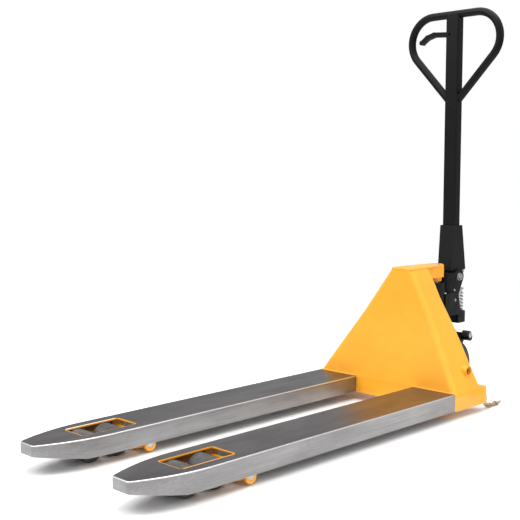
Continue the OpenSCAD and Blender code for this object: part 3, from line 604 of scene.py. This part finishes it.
bracketSpec = {"frontCorner": 0.0135, "topEdge": 0.0048, "underEdge": 0.002, "cornerEdge": 0.004}
softEdges = {"base_ends": 0.001, "cross_member": 0.001, "pivot_bosses": 0.0022, "bracket_hangers": 0.0014,
             "chain_eye": 0.0006, "rocker_beam": 0.0012, "lift_ram": 0.0012, "rocker_shaft": 0.0012,
             "bracket_pins": 0.0012, "rear_rod_pins": 0.001, "trunnion_ring": 0.0015, "trunnion_pins": 0.001,
             "pump_foot": 0.0018, "thrust_washer": 0.0005, "retaining_ring": 0.0006, "steer_axle": 0.001,
             "axle_caps": 0.0012, "pump_barrel": 0.0006, "plunger": 0.0012, "release_lever": 0.001,
             "valve_parts": 0.0006, "pressure_roller": 0.0007, "pump_casting": 0.0016}
sideEdges = {"rod_ends_": 0.001, "lock_nuts_": 0.0007, "roller_bracket_": 0.001, "front_rod_pin_": 0.0008,
             "bogie_pins_": 0.0008, "bogie_plates_": 0.001, "roller_axles_": 0.001, "push_rod_": 0.0006}

def makeFrameWork():
    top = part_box("head_bracket")[1].z - 1e-4
    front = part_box("head_bracket")[0].y + 1e-3

    def frontCorner(e):
        a, b = ends(e)
        return max(a.y, b.y) < front and abs(a.z - b.z) > bracketSpec["cornerEdge"]

    def onTop(e):
        return min(v.co.z for v in e.verts) > top

    def below(e):
        return max(v.co.z for v in e.verts) < top

    finishedCopy("head_bracket", [(frontCorner, bracketSpec["frontCorner"], 5, True),
                                  (onTop, bracketSpec["topEdge"], 4, False),
                                  (below, bracketSpec["underEdge"], 2, True)], 34)
    for node, width in softEdges.items():
        softened(node, width)
    for side in ("left", "right"):
        for node, width in sideEdges.items():
            softened(node + side, width)


rollerSpec = {"chamfer": 0.0028, "recess": 0.003, "bearing": 0.0175, "rim": 0.026, "bore": 0.0082,
              "sealSink": 0.0008}

def makeRollers():
    for side in ("left", "right"):
        for place in ("front", "rear"):
            node = "load_roller_" + side + "_" + place
            low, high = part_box(node)
            half, r = (high.x - low.x) / 2, (high.z - low.z) / 2
            c, bore = rollerSpec["chamfer"], rollerSpec["bore"]
            inner = [(-half + 0.001, bore), (-half + 0.001, rollerSpec["bearing"]),
                     (-half + rollerSpec["recess"], rollerSpec["bearing"] + 0.001),
                     (-half + rollerSpec["recess"], rollerSpec["rim"]), (-half, rollerSpec["rim"] + 0.001),
                     (-half, r - c), (-half + c * 0.35, r - c * 0.35), (-half + c, r)]
            mirrored = [(-a, b) for a, b in reversed(inner)]
            ring = inner + mirrored
            bm = lathe(ring + [ring[0]], middle(node), steps=72)
            finishPiece(node + "_finished", bm, bodyOf[node], "roller_nylon", [node], 34)
            for s in (-1, 1):
                face = s * (half - rollerSpec["sealSink"])
                # race, step, shield, step, race
                back, dip = face - s * 0.003, face - s * 0.0006
                seal = [(back, 0.0086), (face, 0.0086), (face, 0.0108), (dip, 0.0112), (dip, 0.0148),
                        (face, 0.0152), (face, 0.0170), (back, 0.0170)]
                bm = lathe(seal + [seal[0]], middle(node), steps=48)
                finishPiece(node + "_bearing_" + ("a", "b")[s > 0], bm, bodyOf[node], "bright_steel", (), 34)


wheelSpec = {"rubber": 0.020, "seamHalf": 0.004, "sealSink": 0.0004}

def makeWheels():
    for side in ("left", "right"):
        node = "wheel_tyre_" + side
        low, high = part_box(node)
        half, r = (high.x - low.x) / 2, (high.z - low.z) / 2
        core = r - wheelSpec["rubber"]
        seam = wheelSpec["seamHalf"]
        tyre = [(-half + 0.0004, core), (-half, core + 0.001), (-half, r - 0.0062),
                (-half + 0.0014, r - 0.0022), (-half + 0.0050, r - 0.0002), (-half + 0.008, r),
                (-seam, r), (-0.0034, r - 0.0010)]
        ring = tyre + [(-a, b) for a, b in reversed(tyre)]
        bm = lathe(ring + [ring[0]], middle(node), steps=120)
        finishPiece(node + "_finished", bm, bodyOf[node], "wheel_tyre", [node], 40)
        softened("wheel_hub_" + side, 0.0012)
        for s in (-1, 1):
            face = s * (half - wheelSpec["sealSink"])
            seal = [(face - s * 0.004, 0.0126), (face, 0.0126), (face, 0.0158), (face - s * 0.0008, 0.0162),
                    (face - s * 0.0008, 0.0232), (face, 0.0236), (face, 0.0262), (face - s * 0.004, 0.0262)]
            bm = lathe(seal + [seal[0]], middle(node), steps=60)
            name = "wheel_bearing_" + side + ("_a", "_b")[s > 0]
            finishPiece(name, bm, bodyOf[node], "bright_steel", (), 34)


pedalSpec = {"ribs": 9, "rib": 0.0008, "grip": 0.0125, "inner": 0.018, "capRoom": 0.0022, "capProud": 0.0008}

def makePedal():
    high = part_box("foot_pedal")[1]
    softened("foot_pedal", 0.0012)
    r = pedalSpec["grip"]
    y, z = high.y - r - pedalSpec["rib"], high.z - r
    for s in (-1, 1):
        name = ("left", "right")[s > 0]
        start, end = s * pedalSpec["inner"], s * (high.x - pedalSpec["capRoom"])
        outline = [(start, r * 0.9)]
        for i in range(pedalSpec["ribs"]):
            a = start + (end - start) * (i + 0.15) / pedalSpec["ribs"]
            b = start + (end - start) * (i + 0.85) / pedalSpec["ribs"]
            outline += [(a, r), (a + (b - a) * 0.2, r + pedalSpec["rib"]),
                        (b - (b - a) * 0.2, r + pedalSpec["rib"]), (b, r)]
        outline.append((end, r * 0.9))
        bm = lathe(outline + [outline[0]], Vector((0, y, z)), steps=48)
        finishPiece("pedal_grip_" + name, bm, "foot_pedal", "wheel_tyre", (), 40)
        edge = s * (high.x + pedalSpec["capProud"])
        cap = [(edge - s * 0.0025, 0.0), (edge - s * 0.0025, 0.0095), (edge - s * 0.0005, 0.0095),
               (edge, 0.0088), (edge, 0.0)]
        bm = lathe(cap, Vector((0, y, z)), steps=48)
        finishPiece("pedal_end_cap_" + name, bm, "foot_pedal", "bright_steel", (), 40)


loopSpec = {"tube": 0.0125, "bend": 0.0825, "legFoot": 0.972, "leanSteps": 16, "footX": 0.035,
            "inside": 0.014, "sides": 28}

def makeLoop():
    low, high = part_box("handle_loop")
    y = (low.y + high.y) / 2
    tube, bend = loopSpec["tube"], loopSpec["bend"]
    top = high.z - tube
    bendX, bendZ = high.x - tube - bend, top - bend
    foot = Vector((loopSpec["footX"], loopSpec["legFoot"]))
    gap = Vector((bendX, bendZ)) - foot
    lean = atan2(gap.y, gap.x) - asin(bend / gap.length)
    path = [Vector((0, y, top)), Vector((bendX * 0.5, y, top))]
    steps = loopSpec["leanSteps"]
    for i in range(steps + 1):
        a = pi / 2 - (pi - lean) * i / steps
        path.append(Vector((bendX + bend * cos(a), y, bendZ + bend * sin(a))))
    start = Vector((foot.x - loopSpec["inside"], foot.y - loopSpec["inside"] * sin(lean) / cos(lean)))
    path.append(Vector((start.x, y, start.y)))
    half = sweep(path, tube, loopSpec["sides"])
    mirror = bmesh.ops.duplicate(half, geom=half.verts[:] + half.edges[:] + half.faces[:])["geom"]
    turned = [g for g in mirror if isinstance(g, bmesh.types.BMVert)]
    bmesh.ops.scale(half, vec=(-1, 1, 1), verts=turned)
    caps = [f for f in half.faces if all(abs(v.co.x) < 1e-6 for v in f.verts)]
    bmesh.ops.delete(half, geom=caps, context="FACES_ONLY")
    bmesh.ops.remove_doubles(half, verts=half.verts, dist=1e-6)
    bmesh.ops.recalc_face_normals(half, faces=half.faces)
    finishPiece("handle_loop_finished", half, bodyOf["handle_loop"], "black_paint", ["handle_loop"], 50)


handleSpec = {"skinEdge": 0.0032, "shoulderEdge": 0.0009, "leverEdge": 0.0022, "clearFoot": 0.035}

def makeHandle():
    low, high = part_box("handle_socket")

    def shoulder(e):
        a, b = ends(e)
        return min(a.z, b.z) > high.z - 1e-4

    def skin(e):
        a, b = ends(e)
        outside = min(abs(a.x), abs(b.x)) > high.x - 1e-4
        return outside and min(a.z, b.z) > low.z + handleSpec["clearFoot"] and not shoulder(e)

    finishedCopy("handle_socket", [(skin, handleSpec["skinEdge"], 3, True),
                                   (shoulder, handleSpec["shoulderEdge"], 2, True)], 30)
    softened("control_lever", handleSpec["leverEdge"], 3)
    tube = mergedCopy("handle_tube")
    finishPiece("handle_tube_finished", tube, bodyOf["handle_tube"], "black_paint", ["handle_tube"], 34)


def dressRest():
    # every node takes the finish of its slot, for those that no piece replaces
    for name, obj in frame["nodes"].items():
        obj.data.materials.clear()
        obj.data.materials.append(finishes[slotOf[name]])


stageSpec = {"floor": (0.97, 0.97, 0.97), "world": 1.0, "key": 75, "fill": 13, "top": 60, "fade": (1.1, 2.6),
             "size": 30, "aim": (0, 0, 0.3), "mottle": 0.995,
             "sky": ((0.0, 0.50), (0.10, 0.42), (0.45, 0.85), (1.0, 1.25))}
cameraSpec = {"place": (1.793, -1.976, 0.728), "azimuth": 44.95, "down": 5.39, "lens": 66.4,
              "sensor": 36}

def makeStage():
    p = Paint("pale_floor")
    cloud = p.noise(3, 2)
    away = (p.part(0) ** 2 + p.part(1) ** 2) ** 0.5
    darker = tuple(c * stageSpec["mottle"] for c in stageSpec["floor"])
    material = p.done(Base_Color=p.blend(cloud, stageSpec["floor"], darker),
                      Roughness=0.6 + cloud * 0.1, Alpha=1 - away.rise(*stageSpec["fade"]))
    bm = bmesh.new()
    bmesh.ops.create_grid(bm, x_segments=2, y_segments=2, size=stageSpec["size"])
    mesh = bpy.data.meshes.new("floor")
    bm.to_mesh(mesh)
    bm.free()
    floor = bpy.data.objects.new("floor", mesh)
    mesh.materials.append(material)
    bpy.context.scene.collection.objects.link(floor)


def makeSky():
    # plain white where the camera looks past the object, a soft gradient in what the metal reflects
    world = bpy.data.worlds.new("studio")
    world.use_nodes = True
    tree = world.node_tree
    seen = tree.nodes.new("ShaderNodeLightPath")
    gradient = tree.nodes.new("ShaderNodeValToRGB")
    height = tree.nodes.new("ShaderNodeSeparateXYZ")
    places = tree.nodes.new("ShaderNodeTexCoord")
    backdrop = tree.nodes.new("ShaderNodeMix")
    backdrop.data_type = "RGBA"
    ramp = gradient.color_ramp.elements
    while len(ramp) < len(stageSpec["sky"]):
        ramp.new(0.5)
    for stop, (at, grey) in zip(ramp, stageSpec["sky"]):
        stop.position, stop.color = at, (grey, grey, grey, 1)
    tree.links.new(places.outputs["Generated"], height.inputs[0])
    tree.links.new(height.outputs[2], gradient.inputs[0])
    tree.links.new(seen.outputs["Is Camera Ray"], backdrop.inputs[0])
    tree.links.new(gradient.outputs[0], backdrop.inputs[6])
    backdrop.inputs[7].default_value = (1, 1, 1, 1)
    tree.links.new(backdrop.outputs[2], tree.nodes["Background"].inputs[0])
    tree.nodes["Background"].inputs[1].default_value = stageSpec["world"]
    bpy.context.scene.world = world


def makeLights():
    for name, place, size, power in (("key", (-1.6, -2.6, 3.0), 2.2, stageSpec["key"]),
                                     ("fill", (2.8, 0.6, 1.6), 1.6, stageSpec["fill"]),
                                     ("top", (0.3, 0.2, 3.2), 2.6, stageSpec["top"])):
        light = bpy.data.lights.new(name, "AREA")
        light.size, light.energy = size, power
        lamp = bpy.data.objects.new(name, light)
        lamp.location = place
        lamp.rotation_mode = "QUATERNION"
        lamp.rotation_quaternion = (Vector(place) - Vector(stageSpec["aim"])).to_track_quat("Z", "Y")
        bpy.context.scene.collection.objects.link(lamp)


def makeCamera():
    a, e = radians(cameraSpec["azimuth"]), radians(cameraSpec["down"])
    back = Vector((sin(a) * cos(e), -cos(a) * cos(e), sin(e)))
    data = bpy.data.cameras.new("view")
    data.lens, data.sensor_width = cameraSpec["lens"], cameraSpec["sensor"]
    camera = bpy.data.objects.new("view", data)
    camera.location = cameraSpec["place"]
    camera.rotation_mode = "QUATERNION"
    camera.rotation_quaternion = (-back).to_track_quat("-Z", "Y")
    bpy.context.scene.collection.objects.link(camera)
    bpy.context.scene.camera = camera


bpy.context.scene.view_settings.view_transform = "Standard"
makeCamera()
makeStage()
makeSky()
makeLights()
dressRest()
print("stage set")
makeForks()
makeWindowLips()
print("forks made")
makeShell()
makeWelds()
print("frame made")
makeFrameWork()
print("linkage and pump made")
makePivotBolt()
makeRollers()
makeWheels()
makePedal()
makeLoop()
makeHandle()
print("running gear and handle made")
